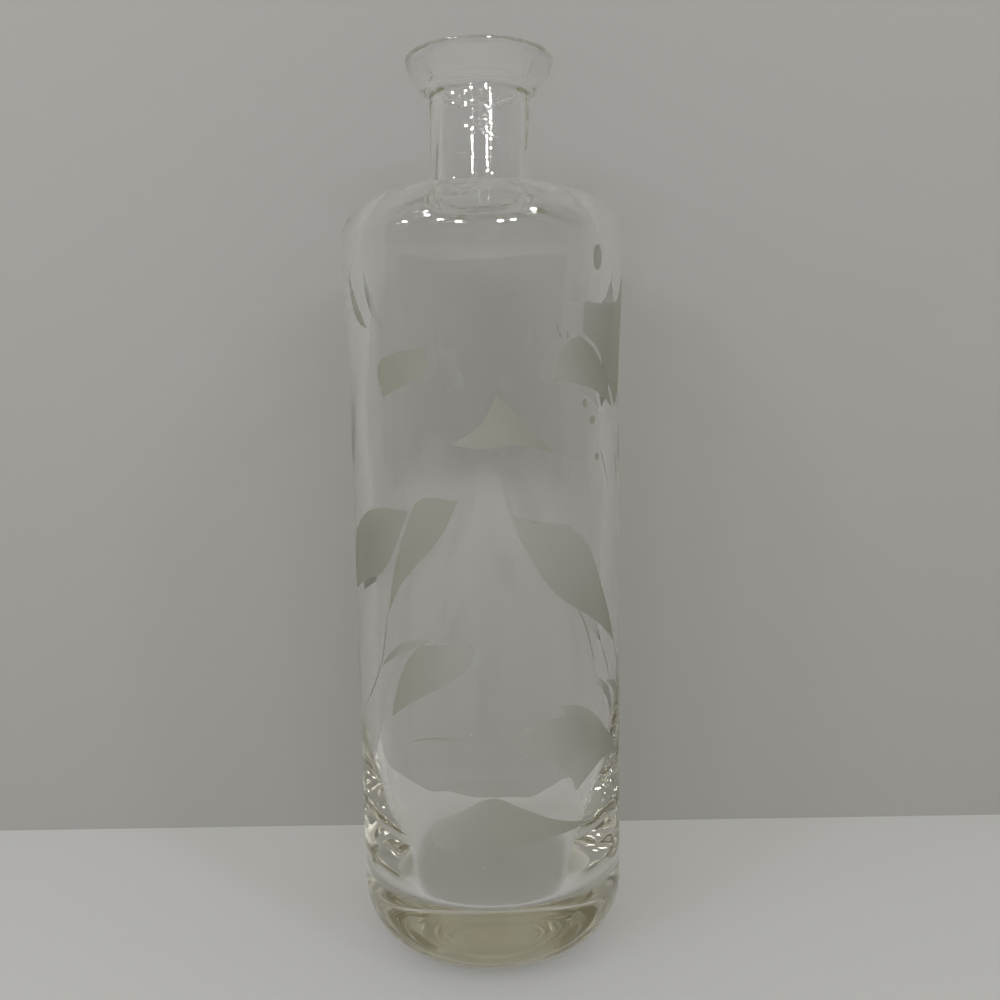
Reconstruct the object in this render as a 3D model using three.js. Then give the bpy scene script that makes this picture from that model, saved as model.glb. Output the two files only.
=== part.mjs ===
// A one-piece glass decanter: thick solid base, straight body, rounded shoulder, short neck, flared lip.
// Millimetres, +Z up. The decanter stands on its flat foot at z = 0 with its axis on Z.
import * as THREE from 'three';

// Heights of the five sections, from the table upwards
const baseHeight = 70;
const bodyHeight = 135;
const shoulderHeight = 16.5;
const neckHeight = 24;
const lipHeight = 10.2;

// Outside radii, and how far the wall swells and the lip flares beyond them
const bodyRadius = 39;
const shoulderSwell = 1.3;
const neckRadius = 14.3;
const lipFlare = 6.6;

// Glass thicknesses
const floorThickness = 19.4;
const bodyWall = 5.3;
const neckWall = 3.3;
const shoulderWall = 2.2;
const lipWall = 3.2;

// Roundings
const heelRounding = 14.2;
const heelHeight = 18.7;
const wallTaper = 6.1;
const floorCorner = 3.1;
const bodySwell = 43;
const neckFillet = 2;
const boreFlare = 2;
const lipFillet = 1.4;
const rimRounding = 0.5;

// How full the shoulder is: 0.55 is a quarter ellipse, and 1 would be a square corner
const shoulderFullness = 0.585;

// How finely round stretches are cut
const roundSegments = 72;
const longCurveSteps = 12;
const shortCurveSteps = 6;

// Places worked out from the sizes above
const bodyBottom = baseHeight;
const shoulderBottom = bodyBottom + bodyHeight;
const neckBottom = shoulderBottom + shoulderHeight;
const lipBottom = neckBottom + neckHeight;
const rimTop = lipBottom + lipHeight;
const footRadius = bodyRadius - heelRounding;
const innerRadius = bodyRadius - bodyWall;
const taperRadius = innerRadius - wallTaper;
const taperBottom = floorThickness + floorCorner;
const floorRadius = taperRadius - floorCorner;
const shoulderRadius = bodyRadius + shoulderSwell;
const innerShoulderRadius = shoulderRadius - bodyWall;
const boreRadius = neckRadius - neckWall;
const lipRadius = neckRadius + lipFlare;
const mouthRadius = lipRadius - lipWall;
const swellBottom = shoulderBottom - bodySwell;

// The glass is clear with a faint olive cast, which shows most where it is thick
const clearGlass = { roughness: 0.04, metalness: 0, transparent: true, opacity: 0.35 };
const thinGlassColour = 0xb4b3a9;
const thickGlassColour = 0xa29f8c;

// A point of an outline: distance from the axis, then height
const at = (radius, height) => new THREE.Vector2(radius, height);

// The points along a curve after its first one, which the outline already has
const along = (curve, steps) => curve.getPoints(steps).slice(1);

// A quarter of an ellipse from one angle to another, in quarter turns
function quarter(centre, radiusOut, radiusUp, fromTurn, toTurn, steps) {
  const clockwise = toTurn < fromTurn;
  const start = fromTurn * Math.PI / 2;
  const end = toTurn * Math.PI / 2;
  const curve = new THREE.EllipseCurve(centre.x, centre.y, radiusOut, radiusUp, start, end, clockwise);
  return along(curve, steps);
}

// A rounded corner between an upright and a flat stretch, as full as the shoulder
function fullRound(from, to, corner, steps) {
  const leave = from.clone().lerp(corner, shoulderFullness);
  const arrive = to.clone().lerp(corner, shoulderFullness);
  return along(new THREE.CubicBezierCurve(from, leave, arrive, to), steps);
}

// A smooth step between two points, upright at both ends; each pull says how long it stays upright
function smoothStep(from, to, fromPull, toPull, steps) {
  const rise = Math.sign(to.y - from.y);
  const leave = at(from.x, from.y + rise * fromPull);
  const arrive = at(to.x, to.y - rise * toPull);
  return along(new THREE.CubicBezierCurve(from, leave, arrive, to), steps);
}

// One section of glass, turned about Z from its outline
function section(name, outline, colour) {
  const geometry = new THREE.LatheGeometry(outline, roundSegments);
  geometry.rotateX(Math.PI / 2);
  const material = new THREE.MeshStandardMaterial({ color: colour, ...clearGlass });
  const mesh = new THREE.Mesh(geometry, material);
  mesh.name = name;
  return mesh;
}

// Solid base: flat foot, rounded heel, a wall that thickens downwards and a tight corner round the inner floor
function heavyBase() {
  const taperStart = at(innerRadius, bodyBottom);
  const taperEnd = at(taperRadius, taperBottom);
  const taperDrop = bodyBottom - taperBottom;
  const taperLeave = at(innerRadius, bodyBottom - 0.34 * taperDrop);
  const taperArrive = at(taperRadius + 0.46 * wallTaper, taperBottom + 0.3 * taperDrop);
  const taper = new THREE.CubicBezierCurve(taperStart, taperLeave, taperArrive, taperEnd);
  const cornerLeave = at(taperRadius - 0.11 * floorCorner, taperBottom - 0.55 * floorCorner);
  const cornerArrive = at(floorRadius + 0.5 * floorCorner, floorThickness);
  const floorEdge = at(floorRadius, floorThickness);
  const corner = new THREE.CubicBezierCurve(taperEnd, cornerLeave, cornerArrive, floorEdge);
  const outline = [
    at(0, 0),
    at(footRadius, 0),
    ...quarter(at(footRadius, heelHeight), heelRounding, heelHeight, -1, 0, longCurveSteps),
    at(bodyRadius, bodyBottom),
    taperStart,
    ...along(taper, longCurveSteps),
    ...along(corner, shortCurveSteps),
    at(0, floorThickness),
  ];
  return section('heavy_base', outline, thickGlassColour);
}

// Body wall: a straight cylinder that swells a little just under the shoulder
function bodyWallSection() {
  const pull = bodySwell / 3;
  const outerBottom = at(bodyRadius, bodyBottom);
  const outerSwell = at(bodyRadius, swellBottom);
  const outerTop = at(shoulderRadius, shoulderBottom);
  const innerTop = at(innerShoulderRadius, shoulderBottom);
  const innerSwell = at(innerRadius, swellBottom);
  const outline = [
    outerBottom,
    outerSwell,
    ...smoothStep(outerSwell, outerTop, pull, pull, shortCurveSteps),
    innerTop,
    ...smoothStep(innerTop, innerSwell, pull, pull, shortCurveSteps),
    at(innerRadius, bodyBottom),
    outerBottom,
  ];
  return section('body_wall', outline, thinGlassColour);
}

// Shoulder: a flattened dome that runs into the neck with a small fillet outside and inside
function shoulder() {
  const domeTop = neckBottom - neckFillet;
  const domeEdge = neckRadius + neckFillet;
  const innerDomeTop = domeTop - shoulderWall;
  const innerEdge = boreRadius + boreFlare;
  const flareTop = innerDomeTop + boreFlare;
  const start = at(shoulderRadius, shoulderBottom);
  const top = at(domeEdge, domeTop);
  const innerTop = at(innerEdge, innerDomeTop);
  const innerEnd = at(innerShoulderRadius, shoulderBottom);
  const outline = [
    start,
    ...fullRound(start, top, at(shoulderRadius, domeTop), longCurveSteps),
    ...quarter(at(domeEdge, neckBottom), neckFillet, neckFillet, 3, 2, shortCurveSteps),
    at(boreRadius, neckBottom),
    at(boreRadius, flareTop),
    ...quarter(at(innerEdge, flareTop), boreFlare, boreFlare, 2, 3, shortCurveSteps),
    ...fullRound(innerTop, innerEnd, at(innerShoulderRadius, innerDomeTop), longCurveSteps),
    start,
  ];
  return section('shoulder', outline, thinGlassColour);
}

// Neck: a plain tube
function neck() {
  const start = at(neckRadius, neckBottom);
  const outline = [
    start,
    at(neckRadius, lipBottom),
    at(boreRadius, lipBottom),
    at(boreRadius, neckBottom),
    start,
  ];
  return section('neck', outline, thinGlassColour);
}

// Pouring lip: turns out sharply from the neck, rises like a small cup to a flat rim, with a plain funnel inside
function pouringLip() {
  const rimBottom = rimTop - rimRounding;
  const start = at(neckRadius, lipBottom);
  const cupStart = at(neckRadius + lipFillet, lipBottom + lipFillet);
  const cupEnd = at(lipRadius, rimBottom);
  const cupRise = rimBottom - cupStart.y;
  const cupSpread = lipRadius - cupStart.x;
  const cupLeave = at(cupStart.x + 0.35 * cupSpread, cupStart.y);
  const cupArrive = at(lipRadius - 0.1 * cupSpread, cupStart.y + 0.5 * cupRise);
  const cup = new THREE.CubicBezierCurve(cupStart, cupLeave, cupArrive, cupEnd);
  const outerRim = at(lipRadius - rimRounding, rimBottom);
  const innerRim = at(mouthRadius + rimRounding, rimBottom);
  const outline = [
    start,
    ...quarter(at(cupStart.x, lipBottom), lipFillet, lipFillet, 2, 1, shortCurveSteps),
    ...along(cup, longCurveSteps),
    ...quarter(outerRim, rimRounding, rimRounding, 0, 1, shortCurveSteps),
    at(innerRim.x, rimTop),
    ...quarter(innerRim, rimRounding, rimRounding, 1, 2, shortCurveSteps),
    at(boreRadius, lipBottom),
    start,
  ];
  return section('pouring_lip', outline, thinGlassColour);
}

const decanter = new THREE.Group();
decanter.name = 'glass_decanter';
decanter.add(heavyBase(), bodyWallSection(), shoulder(), neck(), pouringLip());

export default decanter;
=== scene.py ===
"""The looks of a one-piece glass decanter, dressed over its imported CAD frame.

Metres, +Z up, with the decanter's axis on Z and the viewer towards -Y.
"""

import math

import bpy
from mathutils import Matrix, Vector
from mathutils.kdtree import KDTree


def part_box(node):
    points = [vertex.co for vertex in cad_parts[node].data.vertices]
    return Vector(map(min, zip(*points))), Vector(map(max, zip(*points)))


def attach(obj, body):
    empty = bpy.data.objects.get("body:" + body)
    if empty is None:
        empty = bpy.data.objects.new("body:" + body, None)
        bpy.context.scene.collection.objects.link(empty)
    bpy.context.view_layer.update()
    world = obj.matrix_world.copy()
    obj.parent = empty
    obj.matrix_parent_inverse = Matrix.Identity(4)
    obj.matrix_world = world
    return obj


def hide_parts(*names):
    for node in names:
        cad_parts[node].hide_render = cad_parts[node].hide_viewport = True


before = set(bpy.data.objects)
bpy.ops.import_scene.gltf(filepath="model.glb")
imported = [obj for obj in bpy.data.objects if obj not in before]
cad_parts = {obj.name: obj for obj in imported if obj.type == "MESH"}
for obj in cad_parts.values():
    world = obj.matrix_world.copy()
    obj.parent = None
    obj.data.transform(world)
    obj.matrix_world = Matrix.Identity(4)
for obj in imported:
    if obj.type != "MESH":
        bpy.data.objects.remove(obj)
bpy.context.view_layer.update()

MM = 0.001

# Sizes that the frame gives
base_low, base_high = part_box("heavy_base")
shoulder_low, shoulder_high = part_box("shoulder")
neck_low, neck_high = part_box("neck")
lip_low, lip_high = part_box("pouring_lip")
BODY_RADIUS = base_high.x
SHOULDER_RADIUS = shoulder_high.x
NECK_RADIUS = neck_high.x
LIP_RADIUS = lip_high.x
BOWL_TOP = base_high.z
SHOULDER_BOTTOM = shoulder_low.z
NECK_BOTTOM = neck_low.z
LIP_BOTTOM = lip_low.z
RIM_TOP = lip_high.z

# Glass thicknesses and roundings
BODY_WALL = 5.3 * MM
NECK_WALL = 3.3 * MM
SHOULDER_WALL = 2.2 * MM
LIP_WALL = 3.2 * MM
FLOOR_THICKNESS = 19.4 * MM
HEEL_ROUNDING = 14.2 * MM
HEEL_HEIGHT = 18.7 * MM
WALL_TAPER = 6.1 * MM
FLOOR_CORNER = 3.1 * MM
SWELL_HEIGHT = 43 * MM
NECK_FILLET = 2 * MM
BORE_FLARE = 2 * MM
LIP_FILLET = 1.4 * MM
RIM_ROUNDING = 0.5 * MM
FOOT_RADIUS = BODY_RADIUS - HEEL_ROUNDING
SWELL_BOTTOM = SHOULDER_BOTTOM - SWELL_HEIGHT

# How finely the glass is turned, and the angle below which an edge is shaded smooth
OUTLINE_STEPS = 12
TURN_STEPS = 256
MERGE_GAP = 0.002 * MM
SMOOTH_BELOW = math.radians(30)

# How far the handles of a curve reach: a share of the way to its corner, or shares of its width and height
ARC_PULL = 0.5523
SHOULDER_PULL = 0.585
CUP_LEAVE = (0.35, 0)
CUP_ARRIVE = (0.1, 0.5)
TAPER_LEAVE = (0, 0.34)
TAPER_ARRIVE = (0.46, 0.3)
CORNER_LEAVE = (0.11, 0.55)
CORNER_ARRIVE = (0.5, 0)

# Waves of the inside: size, lobes round, height per radian, start
INNER_WAVES = [
    (0.10 * MM, 5, 14 * MM, 0.4),
    (0.07 * MM, -9, 9 * MM, 1.9),
    (0.04 * MM, 14, -5 * MM, 3.1),
]

# The rim's flat and its inner rounding are two curves, which have no waves
RIM_CURVES = 2

# The etching: its depth, how finely a leaf is divided, its stems and dots, and its bowed and sharp points
ETCH_DEEPEST = 0.06 * MM
ETCH_SHALLOWEST = 0.03 * MM
ETCH_CLEARANCE = 1 * MM
LEAF_GRID = 1.6 * MM
STEM_WIDTH = 0.5 * MM
STEM_LEAST_FROST = 0.9
DOT_LEAST_FROST = 0.8
FADE_RIGHTWARDS = 0
FROST_REACH = 10 * MERGE_GAP
BOW = "AUTO"
TIP = "VECTOR"

# The glass and its frosted parts
GLASS_IOR = 1.5
GLASS_BOUNCES = 64
GLASS_CAST = (0.67, 0.62, 0.38, 1)
GLASS_CAST_DENSITY = 4
FROST_ROUGHNESS = 0.5
FROST_FULLY_MATT = 0.05
FROST_WHITENESS = 0.85
FROST_COLOUR = (0.33, 0.329, 0.27, 1)
FROST_THROUGH = 0.35
SMUDGE_ROUGHNESS = 0.05
SMUDGE_SCALE = 45
SMUDGES_START = 0.5
SMUDGES_FULL = 0.8
TOOL_MARKS_START = NECK_BOTTOM - 3 * NECK_FILLET
TOOL_MARK_DEPTH = 0.06 * MM
TOOL_MARK_STRETCH = (70, 70, 600)
GLASS_SHADE = (0.9, 0.9, 0.885, 1)

# The floor and backdrop
STAGE_WIDTH = 4
FLOOR_GAP = 0.2 * MM
FLOOR_COLOUR = (0.56, 0.555, 0.54, 1)
BACKDROP_DISTANCE = 67 * MM
BACKDROP_COLOUR = (0.30, 0.295, 0.28, 1)
PAINT_ROUGHNESS = 0.7

# The lamps, each as degrees round from the front and degrees up, and the room's own light
LEFT_LAMPS = [(-17, 17), (-31, 21), (-44, 31), (-49, 41), (-62, 22)]
RIGHT_LAMPS = [(15, 17), (25, 19), (46, 33), (48, 42)]
LAMP_DISTANCE = 1.6
LAMP_WIDTH = 0.12
LAMP_HEIGHT = 0.03
LAMP_POWER = 2.9
ROOM_COLOUR = (1, 1, 0.98, 1)
ROOM_LIGHT_LOW = 0.15
ROOM_LIGHT_HIGH = 0.4

# The camera, which looks a little down and is held a little askew
CAMERA_PLACE = Vector((3.97, -285.46, 162.96)) * MM
CAMERA_DIP = math.radians(6.41)
CAMERA_LEAN = math.radians(-0.92)
CAMERA_LENS = 34.85
CAMERA_SENSOR = 36
CAMERA_NEAREST = 10 * MM


# Small helpers for working as by hand

def deselect_all():
    if bpy.context.object and bpy.context.object.mode != "OBJECT":
        bpy.ops.object.mode_set(mode="OBJECT")
    bpy.ops.object.select_all(action="DESELECT")


def pick(piece):
    deselect_all()
    piece.select_set(True)
    bpy.context.view_layer.objects.active = piece


def edit(piece):
    pick(piece)
    bpy.ops.object.mode_set(mode="EDIT")
    bpy.ops.mesh.select_all(action="SELECT")


def leave_edit():
    bpy.ops.object.mode_set(mode="OBJECT")


def apply_modifier(piece, modifier):
    pick(piece)
    bpy.ops.object.modifier_apply(modifier=modifier.name)


# The outline of the glass

def at(radius, height):
    return Vector((radius, 0, height))


def part_of(span, shares):
    """A step of so much of a span's width and so much of its height."""
    return at(span.x * shares[0], span.z * shares[1])


class Outline:
    """Half of the glass's section as Bezier knots, each (handle before, point, handle after)."""

    def __init__(self, start):
        self.knots = [[start, start, start]]

    def curve(self, leave, arrive, end):
        self.knots[-1][2] = leave
        self.knots.append([arrive, end, end])

    def line(self, end):
        start = self.knots[-1][1]
        self.curve(start.lerp(end, 1 / 3), start.lerp(end, 2 / 3), end)

    def round_to_upright(self, end, pull=ARC_PULL):
        """A quarter ellipse that leaves flat and ends upright, or a fuller round with a stronger pull."""
        start = self.knots[-1][1]
        corner = at(end.x, start.z)
        self.curve(start.lerp(corner, pull), end.lerp(corner, pull), end)

    def round_to_flat(self, end, pull=ARC_PULL):
        """A quarter ellipse that leaves upright and ends flat, or a fuller round with a stronger pull."""
        start = self.knots[-1][1]
        corner = at(start.x, end.z)
        self.curve(start.lerp(corner, pull), end.lerp(corner, pull), end)

    def flow(self, end):
        """A smooth step that is upright at both ends."""
        start = self.knots[-1][1]
        third = at(0, (end.z - start.z) / 3)
        self.curve(start + third, end - third, end)


def outer_outline(outline):
    """From the middle of the foot out and up to the top of the rim."""
    dome_top = NECK_BOTTOM - NECK_FILLET
    cup_start = at(NECK_RADIUS + LIP_FILLET, LIP_BOTTOM + LIP_FILLET)
    cup_end = at(LIP_RADIUS, RIM_TOP - RIM_ROUNDING)
    cup = cup_end - cup_start
    outline.line(at(FOOT_RADIUS, 0))
    outline.round_to_upright(at(BODY_RADIUS, HEEL_HEIGHT))
    outline.line(at(BODY_RADIUS, SWELL_BOTTOM))
    outline.flow(at(SHOULDER_RADIUS, SHOULDER_BOTTOM))
    outline.round_to_flat(at(NECK_RADIUS + NECK_FILLET, dome_top), SHOULDER_PULL)
    outline.round_to_upright(at(NECK_RADIUS, NECK_BOTTOM))
    outline.line(at(NECK_RADIUS, LIP_BOTTOM))
    outline.round_to_flat(cup_start)
    outline.curve(cup_start + part_of(cup, CUP_LEAVE), cup_end - part_of(cup, CUP_ARRIVE), cup_end)
    outline.round_to_flat(at(LIP_RADIUS - RIM_ROUNDING, RIM_TOP))


def inner_outline(outline):
    """From the top of the rim in and down to the middle of the inner floor."""
    inner_radius = BODY_RADIUS - BODY_WALL
    inner_shoulder = SHOULDER_RADIUS - BODY_WALL
    bore = NECK_RADIUS - NECK_WALL
    inner_dome_top = NECK_BOTTOM - NECK_FILLET - SHOULDER_WALL
    mouth = at(LIP_RADIUS - LIP_WALL, RIM_TOP - RIM_ROUNDING)
    taper_start = at(inner_radius, BOWL_TOP)
    taper_end = at(inner_radius - WALL_TAPER, FLOOR_THICKNESS + FLOOR_CORNER)
    taper = taper_start - taper_end
    floor_edge = at(taper_end.x - FLOOR_CORNER, FLOOR_THICKNESS)
    corner = taper_end - floor_edge
    outline.line(at(mouth.x + RIM_ROUNDING, RIM_TOP))
    outline.round_to_upright(mouth)
    outline.line(at(bore, LIP_BOTTOM))
    outline.line(at(bore, inner_dome_top + BORE_FLARE))
    outline.round_to_flat(at(bore + BORE_FLARE, inner_dome_top))
    outline.round_to_upright(at(inner_shoulder, SHOULDER_BOTTOM), SHOULDER_PULL)
    outline.flow(at(inner_radius, SWELL_BOTTOM))
    outline.line(taper_start)
    taper_leave = taper_start - part_of(taper, TAPER_LEAVE)
    outline.curve(taper_leave, taper_end + part_of(taper, TAPER_ARRIVE), taper_end)
    corner_leave = taper_end - part_of(corner, CORNER_LEAVE)
    outline.curve(corner_leave, floor_edge + part_of(corner, CORNER_ARRIVE), floor_edge)
    outline.line(at(0, FLOOR_THICKNESS))


def draw_curve(name, knots):
    deselect_all()
    bpy.ops.curve.primitive_bezier_curve_add()
    drawn = bpy.context.object
    drawn.name = name
    drawn.location = (0, 0, 0)
    drawn.data.resolution_u = OUTLINE_STEPS
    spline = drawn.data.splines[0]
    spline.bezier_points.add(len(knots) - len(spline.bezier_points))
    for point, (before, place, after) in zip(spline.bezier_points, knots):
        point.handle_left_type = "FREE"
        point.handle_right_type = "FREE"
        point.handle_left = before
        point.co = place
        point.handle_right = after
    bpy.ops.object.convert(target="MESH")
    return bpy.context.object


def ripple(turn, height):
    """How far the blown inside strays from true: a few slow waves round it and up it."""
    strays = 0
    for size, lobes, pitch, start in INNER_WAVES:
        strays += size * math.sin(lobes * turn + height / pitch + start)
    return strays


def wave_inside(glass):
    """Moves the inside in and out by its waves, which die out at the rim and at the inner floor."""
    moves = []
    for corner in glass.data.vertices:
        if corner.groups:
            below_rim = (RIM_TOP - corner.co.z) / (RIM_TOP - LIP_BOTTOM)
            above_floor = (corner.co.z - FLOOR_THICKNESS) / FLOOR_CORNER
            share = min(max(above_floor, 0), below_rim, 1)
            turn = math.atan2(corner.co.x, -corner.co.y)
            moves.append((corner, corner.normal * ripple(turn, corner.co.z) * share))
    for corner, move in moves:
        corner.co += move


def blow_glass():
    """The whole decanter as one closed mesh, turned from its outline."""
    outline = Outline(at(0, 0))
    outer_outline(outline)
    outer_curves = len(outline.knots) - 1
    inner_from = (outer_curves + RIM_CURVES) * OUTLINE_STEPS
    inner_outline(outline)
    glass = draw_curve("decanter_glass", outline.knots)
    inside = glass.vertex_groups.new(name="inside")
    inside.add(list(range(inner_from, len(glass.data.vertices))), 1, "REPLACE")
    edit(glass)
    bpy.ops.mesh.spin(steps=TURN_STEPS, angle=2 * math.pi, center=(0, 0, 0), axis=(0, 0, 1))
    bpy.ops.mesh.select_all(action="SELECT")
    bpy.ops.mesh.remove_doubles(threshold=MERGE_GAP)
    bpy.ops.mesh.normals_make_consistent(inside=False)
    leave_edit()
    wave_inside(glass)
    glass.vertex_groups.remove(inside)
    return glass


# The etched leaves

def ease(share):
    """Makes an even rise from 0 to 1 start and end gently."""
    return share * share * (3 - 2 * share)


def wall_radius(height):
    """Radius of the outer wall at a height, straight and then swelling under the shoulder."""
    share = min(max((height - SWELL_BOTTOM) / SWELL_HEIGHT, 0), 1)
    return BODY_RADIUS + (SHOULDER_RADIUS - BODY_RADIUS) * ease(share)


def leaf_sheet(name, points):
    """A flat leaf, x along the unrolled wall and y up it, cut into a grid so that it can be wrapped."""
    deselect_all()
    bpy.ops.curve.primitive_bezier_circle_add()
    leaf = bpy.context.object
    leaf.name = name
    leaf.location = (0, 0, 0)
    leaf.data.dimensions = "2D"
    leaf.data.fill_mode = "BOTH"
    leaf.data.resolution_u = OUTLINE_STEPS
    spline = leaf.data.splines[0]
    spline.bezier_points.add(len(points) - len(spline.bezier_points))
    for knot, (degrees, height, kind) in zip(spline.bezier_points, points):
        knot.handle_left_type = kind
        knot.handle_right_type = kind
        knot.co = (BODY_RADIUS * math.radians(degrees), height * MM, 0)
    bpy.ops.object.convert(target="MESH")
    leaf = bpy.context.object
    edit(leaf)
    bpy.ops.mesh.remove_doubles(threshold=MERGE_GAP)
    leave_edit()
    across = [corner.co.x for corner in leaf.data.vertices]
    upward = [corner.co.y for corner in leaf.data.vertices]
    edit(leaf)
    cut_into_strips(min(across), max(across), Vector((1, 0, 0)))
    cut_into_strips(min(upward), max(upward), Vector((0, 1, 0)))
    leave_edit()
    return leaf


def cut_into_strips(low, high, direction):
    count = int((high - low) / LEAF_GRID)
    for step in range(1, count + 1):
        bpy.ops.mesh.select_all(action="SELECT")
        place = direction * (low + (high - low) * step / (count + 1))
        bpy.ops.mesh.bisect(plane_co=place, plane_no=direction)


def leaf_cutter(name, points, fade_turn, least_frost, frosted):
    """A solid that cuts one leaf into the wall; it notes its frost at each point of the cut's floor."""
    leaf = leaf_sheet(name, points)
    fade_to = Vector((math.cos(math.radians(fade_turn)), math.sin(math.radians(fade_turn)), 0))
    along = [corner.co.dot(fade_to) for corner in leaf.data.vertices]
    start, end = min(along), max(along)
    edit(leaf)
    bpy.ops.mesh.extrude_region_move(TRANSFORM_OT_translate={"value": (0, 0, ETCH_CLEARANCE)})
    leave_edit()
    for corner in leaf.data.vertices:
        share = (corner.co.dot(fade_to) - start) / (end - start)
        frost = 1 - (1 - least_frost) * ease(share)
        depth = ETCH_SHALLOWEST + (ETCH_DEEPEST - ETCH_SHALLOWEST) * frost
        on_floor = corner.co.z < ETCH_CLEARANCE / 2
        turn = corner.co.x / BODY_RADIUS
        height = corner.co.y
        radius = wall_radius(height) + (-depth if on_floor else ETCH_CLEARANCE)
        corner.co = (radius * math.sin(turn), -radius * math.cos(turn), height)
        if on_floor:
            frosted.append((corner.co.copy(), frost))
    edit(leaf)
    bpy.ops.mesh.normals_make_consistent(inside=False)
    leave_edit()
    return leaf


# Each leaf: its outline as degrees round from the front and millimetres up, the way it fades as degrees
# turned from rightwards, and how much frost is left there
LEAVES = {
    "left_leaf_outer": ([
        (-31, 132, TIP), (-50, 132, BOW), (-66, 127, BOW), (-76, 121, BOW), (-79, 114, BOW),
        (-78, 106.5, TIP), (-66, 109.5, BOW), (-57, 112, BOW), (-47, 114.5, BOW), (-41, 119, BOW),
    ], 70, 0.7),
    "left_leaf_inner": ([
        (-26, 135, BOW), (-10, 135, TIP), (-17, 126, BOW), (-23, 121, TIP), (-29, 117, BOW),
        (-36, 112, TIP), (-43, 104, TIP), (-39, 116, BOW), (-32, 128, BOW),
    ], 60, 0.75),
    "right_leaf": ([
        (11, 131, TIP), (19, 129, TIP), (35, 127, BOW), (44, 122, BOW), (53, 111, BOW), (67, 91, TIP),
        (52, 99, BOW), (40, 104, BOW), (30.5, 108, TIP), (23.5, 113, BOW), (16.5, 121, TIP),
        (13, 125, BOW),
    ], 120, 0.3),
    "low_left_leaf": ([
        (-43, 75, TIP), (-40, 82, BOW), (-35, 90, BOW), (-28, 96, TIP), (-16, 97, BOW), (-5, 97, TIP),
        (-6, 93, BOW), (-16, 86.5, BOW), (-29, 81.5, BOW),
    ], 0, 0.2),
    "slender_leaf": ([
        (-21, 98, TIP), (-33, 97, BOW), (-44, 92, BOW), (-49, 88, TIP), (-40, 92, BOW), (-31, 95, BOW),
    ], 30, 0.3),
    "low_right_leaf": ([
        (29, 79, TIP), (38, 78, BOW), (46, 75, BOW), (56, 69, BOW), (73, 57, TIP), (56, 60, BOW),
        (47, 58, BOW), (37, 54, TIP), (34, 59, BOW), (25, 64, BOW), (11, 69, BOW), (12, 73, BOW),
        (32, 76, TIP),
    ], 185, 0.2),
    "low_front_leaf": ([
        (-24, 44, BOW), (-10, 52, BOW), (1, 55.5, BOW), (12, 52.5, BOW), (27, 47.5, BOW), (48, 43.5, TIP),
        (30, 43, BOW), (8, 41, TIP), (-8, 40, BOW),
    ], 200, 0.15),
    "arched_leaf": ([
        (5, 162, TIP), (13, 156.5, BOW), (20, 151.5, BOW), (28, 147, TIP), (12.5, 149, BOW),
        (0, 148.4, BOW), (-13, 149.5, TIP), (-5, 152.5, BOW), (1, 156.5, BOW),
    ], 200, 0.6),
    "upper_left_leaf": ([
        (-45, 170, BOW), (-37, 173, BOW), (-22, 174, TIP), (-22, 168, BOW), (-31, 165, BOW),
        (-42, 162, TIP),
    ], 30, 0.8),
    "upper_left_blade": ([
        (-64, 196, TIP), (-59, 189, BOW), (-51, 180, TIP), (-57, 182, BOW), (-63, 188, BOW),
    ], 120, 0.4),
    "petal_upper": ([
        (42, 186, TIP), (60, 186, BOW), (69, 188, BOW), (75, 195, TIP), (79, 188, BOW), (80, 176, BOW),
        (76, 164, BOW), (68, 158, TIP), (60, 166, BOW), (51, 174, BOW), (42, 178, TIP),
    ], 100, 0.5),
    "petal_lower": ([
        (40, 177, TIP), (34, 175, BOW), (28, 170, BOW), (28, 166, BOW), (36, 165, BOW), (49, 163, BOW),
        (65, 158, TIP), (58, 166, BOW), (49, 173.5, BOW),
    ], 210, 0.35),
    "right_sliver": ([
        (57, 82, TIP), (67, 80, BOW), (75, 75, BOW), (77, 66, TIP), (72, 73, BOW), (65, 78, BOW),
    ], 120, 0.5),
}

# Stems as points along them, and the flower's bud and dots as a place, half a width and half a height
STEMS = {
    "left_stem": [(-43.5, 104), (-45, 99), (-49, 89), (-56, 81), (-65, 74)],
    "right_stem": [(38, 105), (42, 101), (46, 94), (50, 85)],
    "right_long_stem": [(66, 91.5), (71, 86), (75, 79)],
    "low_stem": [(-33, 69), (-27, 70.5), (-18, 71.5), (-7, 71)],
    "low_front_stem": [(49, 43.5), (60, 46), (72, 51)],
    "right_high_stem": [(66, 148), (70, 142), (74, 135)],
    "upper_left_stem": [(-46, 168), (-43.5, 164), (-41, 160)],
    "stamen_long": [(29, 181), (30, 178), (32.5, 175.5)],
    "stamen_short": [(34, 179), (34.3, 177), (34.5, 175.8)],
}
DOTS = {
    "bud": (49.5, 197.5, 1.8 * MM, 3.2 * MM),
    "dot_high": (43.5, 159.5, 1 * MM, 1 * MM),
    "dot_middle": (48, 155, 1.2 * MM, 1.2 * MM),
    "dot_low": (51, 145, 1 * MM, 1 * MM),
}


def stem_outline(path):
    """Both sides of a thin stem, a little way out from the points along it, with a tip at each end."""
    places = [Vector((BODY_RADIUS * math.radians(degrees), height * MM)) for degrees, height in path]
    sides = ([], [])
    for before, place, after in zip(places, places[1:], places[2:]):
        across = (after - before).orthogonal().normalized() * STEM_WIDTH / 2
        for side, way in zip(sides, (across, -across)):
            degrees = math.degrees((place.x + way.x) / BODY_RADIUS)
            side.append((degrees, (place.y + way.y) / MM, BOW))
    start, end = [(degrees, height, TIP) for degrees, height in (path[0], path[-1])]
    return [start] + sides[0] + [end] + sides[1][::-1]


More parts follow.
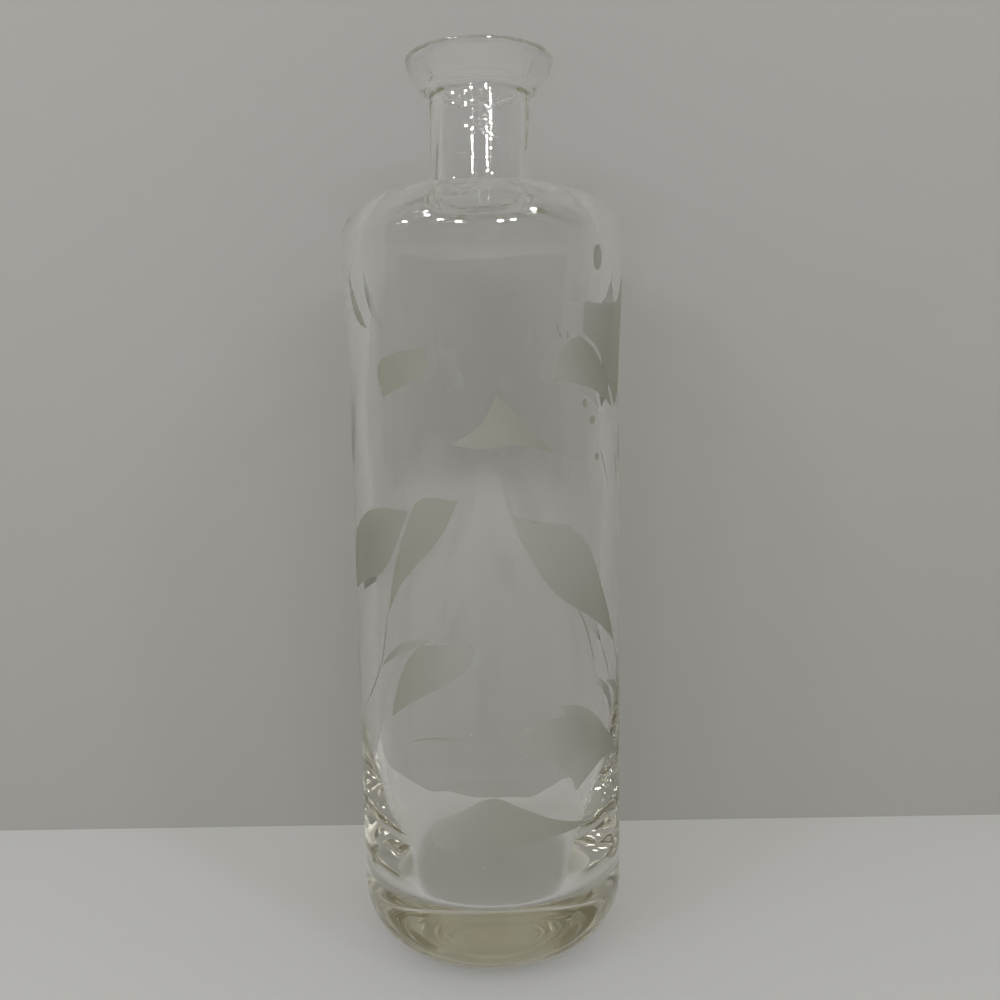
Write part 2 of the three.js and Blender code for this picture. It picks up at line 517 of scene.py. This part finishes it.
def dot_outline(degrees, height, half_width, half_height):
    spread = math.degrees(half_width / BODY_RADIUS)
    rise = half_height / MM
    return [
        (degrees - spread, height, BOW), (degrees, height + rise, BOW),
        (degrees + spread, height, BOW), (degrees, height - rise, BOW),
    ]


def cut_away(glass, cutters):
    pick(cutters[0])
    for cutter in cutters:
        cutter.select_set(True)
    bpy.ops.object.join()
    cutter = bpy.context.object
    cut = glass.modifiers.new("etching", "BOOLEAN")
    cut.operation = "DIFFERENCE"
    cut.solver = "EXACT"
    cut.object = cutter
    apply_modifier(glass, cut)
    bpy.data.objects.remove(cutter, do_unlink=True)


def reach(points):
    """The box of a leaf on the unrolled wall, with a margin: left, right, low and high, in metres."""
    across = [BODY_RADIUS * math.radians(degrees) for degrees, height, kind in points]
    upward = [height * MM for degrees, height, kind in points]
    left, right = min(across) - ETCH_CLEARANCE, max(across) + ETCH_CLEARANCE
    low, high = min(upward) - ETCH_CLEARANCE, max(upward) + ETCH_CLEARANCE
    return left, right, low, high


def apart(one, other):
    """Whether two such boxes leave each other free."""
    left, right, low, high = one
    other_left, other_right, other_low, other_high = other
    return right < other_left or other_right < left or high < other_low or other_high < low


def etch(glass):
    """Cuts the etching in rounds, so that the cutters of one round never touch each other."""
    outlines = dict(LEAVES)
    for name, path in STEMS.items():
        outlines[name] = (stem_outline(path), FADE_RIGHTWARDS, STEM_LEAST_FROST)
    for name, dot in DOTS.items():
        outlines[name] = (dot_outline(*dot), FADE_RIGHTWARDS, DOT_LEAST_FROST)
    rounds = []
    for name, (points, fade_turn, least_frost) in outlines.items():
        box = reach(points)
        free = [each for each in rounds if all(apart(box, other) for other in each.values())]
        if not free:
            free = [{}]
            rounds.append(free[0])
        free[0][name] = box
    frosted = []
    for names in rounds:
        cut_away(glass, [leaf_cutter(name, *outlines[name], frosted) for name in names])
    return frosted


def mark_frost(glass, frosted):
    """Notes on the mesh how matt each point is: only the leaves are, as they fade."""
    tree = KDTree(len(frosted))
    for index, (place, frost) in enumerate(frosted):
        tree.insert(place, index)
    tree.balance()
    marks = glass.data.attributes.new("frost", "FLOAT", "POINT")
    for corner, mark in zip(glass.data.vertices, marks.data):
        place, index, gap = tree.find(corner.co)
        if gap < FROST_REACH:
            mark.value = frosted[index][1]


# Materials

def add_node(tree, kind, **values):
    """A new shader node; each value goes to the input of that name, with _ for a space."""
    node = tree.nodes.new(kind)
    for name, value in values.items():
        node.inputs[name.replace("_", " ")].default_value = value
    return node


def glass_roughness(tree, place, frost):
    """Fully matt wherever the glass is etched at all, and elsewhere only dulled by faint smudges."""
    matt = add_node(tree, "ShaderNodeMapRange", From_Max=FROST_FULLY_MATT, To_Max=FROST_ROUGHNESS)
    smudges = add_node(tree, "ShaderNodeTexNoise", Scale=SMUDGE_SCALE)
    dulled = add_node(tree, "ShaderNodeMapRange", From_Min=SMUDGES_START, From_Max=SMUDGES_FULL)
    dulled.inputs["To Max"].default_value = SMUDGE_ROUGHNESS
    rougher = add_node(tree, "ShaderNodeMath")
    rougher.operation = "MAXIMUM"
    tree.links.new(frost.outputs["Fac"], matt.inputs["Value"])
    tree.links.new(place.outputs["Object"], smudges.inputs["Vector"])
    tree.links.new(smudges.outputs["Fac"], dulled.inputs["Value"])
    tree.links.new(matt.outputs["Result"], rougher.inputs[0])
    tree.links.new(dulled.outputs["Result"], rougher.inputs[1])
    return rougher.outputs["Value"]


def tool_marks(tree, place):
    """Fine uneven rings that the shaping tool left, from the foot of the neck upwards."""
    stretched = add_node(tree, "ShaderNodeMapping", Scale=TOOL_MARK_STRETCH)
    rings = add_node(tree, "ShaderNodeTexNoise", Scale=1)
    parts = add_node(tree, "ShaderNodeSeparateXYZ")
    full_depth = TOOL_MARKS_START + NECK_FILLET
    worked = add_node(tree, "ShaderNodeMapRange", From_Min=TOOL_MARKS_START, From_Max=full_depth)
    uneven = add_node(tree, "ShaderNodeBump", Distance=TOOL_MARK_DEPTH)
    tree.links.new(place.outputs["Object"], stretched.inputs["Vector"])
    tree.links.new(stretched.outputs["Vector"], rings.inputs["Vector"])
    tree.links.new(place.outputs["Object"], parts.inputs["Vector"])
    tree.links.new(parts.outputs["Z"], worked.inputs["Value"])
    tree.links.new(worked.outputs["Result"], uneven.inputs["Strength"])
    tree.links.new(rings.outputs["Fac"], uneven.inputs["Height"])
    return uneven.outputs["Normal"]


def clear_glass():
    """Polished glass with a faint olive cast, matt and powdery where the mesh is marked as frosted.

    Lamplight passes straight through it, so that its shadow is as pale as a real decanter's.
    """
    material = bpy.data.materials.new("clear_glass")
    material.use_nodes = True
    tree = material.node_tree
    output = tree.nodes["Material Output"]
    glass = tree.nodes["Principled BSDF"]
    glass.inputs["Base Color"].default_value = (1, 1, 1, 1)
    glass.inputs["IOR"].default_value = GLASS_IOR
    glass.inputs["Transmission Weight"].default_value = 1
    place = add_node(tree, "ShaderNodeTexCoord")
    frost = add_node(tree, "ShaderNodeAttribute")
    frost.attribute_name = "frost"
    tree.links.new(glass_roughness(tree, place, frost), glass.inputs["Roughness"])
    tree.links.new(tool_marks(tree, place), glass.inputs["Normal"])
    whiteness = add_node(tree, "ShaderNodeMapRange", To_Max=FROST_WHITENESS)
    bounced = add_node(tree, "ShaderNodeBsdfDiffuse", Color=FROST_COLOUR)
    passed = add_node(tree, "ShaderNodeBsdfTranslucent", Color=FROST_COLOUR)
    powder = add_node(tree, "ShaderNodeMixShader", Fac=FROST_THROUGH)
    etched = add_node(tree, "ShaderNodeMixShader")
    tree.links.new(bounced.outputs["BSDF"], powder.inputs[1])
    tree.links.new(passed.outputs["BSDF"], powder.inputs[2])
    tree.links.new(frost.outputs["Fac"], whiteness.inputs["Value"])
    tree.links.new(whiteness.outputs["Result"], etched.inputs[0])
    tree.links.new(glass.outputs["BSDF"], etched.inputs[1])
    tree.links.new(powder.outputs["Shader"], etched.inputs[2])
    ray = add_node(tree, "ShaderNodeLightPath")
    shade = add_node(tree, "ShaderNodeBsdfTransparent", Color=GLASS_SHADE)
    lit = add_node(tree, "ShaderNodeMixShader")
    tree.links.new(ray.outputs["Is Shadow Ray"], lit.inputs[0])
    tree.links.new(etched.outputs["Shader"], lit.inputs[1])
    tree.links.new(shade.outputs["BSDF"], lit.inputs[2])
    tree.links.new(lit.outputs["Shader"], output.inputs["Surface"])
    cast = add_node(tree, "ShaderNodeVolumeAbsorption", Color=GLASS_CAST, Density=GLASS_CAST_DENSITY)
    tree.links.new(cast.outputs["Volume"], output.inputs["Volume"])
    return material


def plain_paint(name, colour):
    material = bpy.data.materials.new(name)
    material.use_nodes = True
    paint = material.node_tree.nodes["Principled BSDF"]
    paint.inputs["Base Color"].default_value = colour
    paint.inputs["Roughness"].default_value = PAINT_ROUGHNESS
    return material


def one_sided(material):
    """The backdrop is only there from the front, so that the decanter can be seen from behind it."""
    tree = material.node_tree
    paint = tree.nodes["Principled BSDF"]
    output = tree.nodes["Material Output"]
    side = add_node(tree, "ShaderNodeNewGeometry")
    gone = add_node(tree, "ShaderNodeBsdfTransparent")
    choose = add_node(tree, "ShaderNodeMixShader")
    tree.links.new(side.outputs["Backfacing"], choose.inputs[0])
    tree.links.new(paint.outputs["BSDF"], choose.inputs[1])
    tree.links.new(gone.outputs["BSDF"], choose.inputs[2])
    tree.links.new(choose.outputs["Shader"], output.inputs["Surface"])


# The stage, lamps and camera

def stage_panel(name, place, turn, paint):
    deselect_all()
    bpy.ops.mesh.primitive_plane_add(size=STAGE_WIDTH, location=place, rotation=turn)
    panel = bpy.context.object
    panel.name = name
    panel.data.materials.append(paint)
    return panel


def build_stage():
    flat = (0, 0, 0)
    upright = (math.pi / 2, 0, 0)
    floor = stage_panel("floor", (0, 0, -FLOOR_GAP), flat, plain_paint("pale_floor", FLOOR_COLOUR))
    backdrop_place = (0, BACKDROP_DISTANCE, STAGE_WIDTH / 2 - FLOOR_GAP)
    backdrop_paint = plain_paint("pale_backdrop", BACKDROP_COLOUR)
    one_sided(backdrop_paint)
    backdrop = stage_panel("backdrop", backdrop_place, upright, backdrop_paint)


def hang_lamp(name, azimuth, elevation):
    turn, lift = math.radians(azimuth), math.radians(elevation)
    out = Vector((math.sin(turn) * math.cos(lift), -math.cos(turn) * math.cos(lift), math.sin(lift)))
    aim = Vector((0, 0, RIM_TOP / 2))
    deselect_all()
    bpy.ops.object.light_add(type="AREA", location=aim + out * LAMP_DISTANCE)
    lamp = bpy.context.object
    lamp.name = name
    lamp.data.shape = "RECTANGLE"
    lamp.data.size = LAMP_WIDTH
    lamp.data.size_y = LAMP_HEIGHT
    lamp.data.energy = LAMP_POWER
    lamp.rotation_euler = out.to_track_quat("Z", "Y").to_euler()


def light_room():
    """Soft light from the whole room, stronger from above."""
    room = bpy.data.worlds.new("soft_room")
    room.use_nodes = True
    bpy.context.scene.world = room
    tree = room.node_tree
    sky = tree.nodes["Background"]
    sky.inputs["Color"].default_value = ROOM_COLOUR
    direction = add_node(tree, "ShaderNodeTexCoord")
    parts = add_node(tree, "ShaderNodeSeparateXYZ")
    lift = add_node(tree, "ShaderNodeMapRange", To_Min=ROOM_LIGHT_LOW, To_Max=ROOM_LIGHT_HIGH)
    tree.links.new(direction.outputs["Generated"], parts.inputs["Vector"])
    tree.links.new(parts.outputs["Z"], lift.inputs["Value"])
    tree.links.new(lift.outputs["Result"], sky.inputs["Strength"])


def place_camera():
    deselect_all()
    bpy.ops.object.camera_add(location=CAMERA_PLACE)
    camera = bpy.context.object
    pitch = Matrix.Rotation(math.pi / 2 - CAMERA_DIP, 3, "X")
    lean = Matrix.Rotation(CAMERA_LEAN, 3, "Z")
    camera.rotation_euler = (pitch @ lean).to_euler()
    camera.data.sensor_width = CAMERA_SENSOR
    camera.data.lens = CAMERA_LENS
    camera.data.clip_start = CAMERA_NEAREST
    bpy.context.scene.camera = camera


glass = blow_glass()
mark_frost(glass, etch(glass))
glass.data.materials.clear()
glass.data.materials.append(clear_glass())
pick(glass)
bpy.ops.object.shade_smooth_by_angle(angle=SMOOTH_BELOW)
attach(glass, "root")
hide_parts("heavy_base", "body_wall", "shoulder", "neck", "pouring_lip")

build_stage()
for number, (azimuth, elevation) in enumerate(LEFT_LAMPS + RIGHT_LAMPS, 1):
    hang_lamp(f"lamp_{number}", azimuth, elevation)
light_room()
place_camera()
scene = bpy.context.scene
scene.view_settings.view_transform = "Standard"
scene.cycles.max_bounces = GLASS_BOUNCES
scene.cycles.glossy_bounces = GLASS_BOUNCES
scene.cycles.transmission_bounces = GLASS_BOUNCES
scene.cycles.caustics_reflective = False
scene.cycles.caustics_refractive = False
